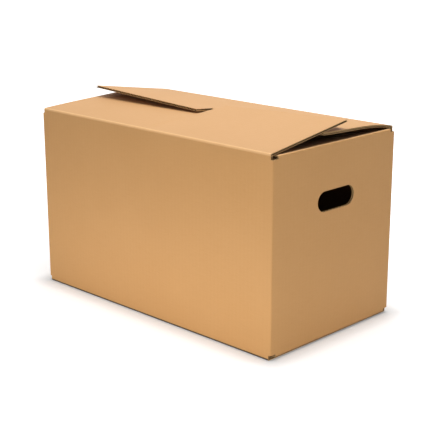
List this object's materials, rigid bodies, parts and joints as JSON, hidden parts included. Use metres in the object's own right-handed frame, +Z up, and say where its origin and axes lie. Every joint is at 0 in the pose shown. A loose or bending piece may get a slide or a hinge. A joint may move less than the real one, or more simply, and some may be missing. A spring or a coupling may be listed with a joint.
{
  "type": "moving box",
  "caption": "Corrugated board moving box, its long top flaps slotted into each other, with a hand hole in each end panel.",
  "frame": {"origin": "middle of the footprint, on the surface the box stands on", "axes": "+Z up, +X along the long panels, +Y along the end panels towards the back long panel"},
  "size_m": [0.55, 0.3, 0.351],
  "materials": {
    "kraft_board": "matte brown kraft liner with the flutes showing at the cut edges"
  },
  "bodies": {
    "root": {"carton": "kraft_board"}
  },
  "joints": []
}
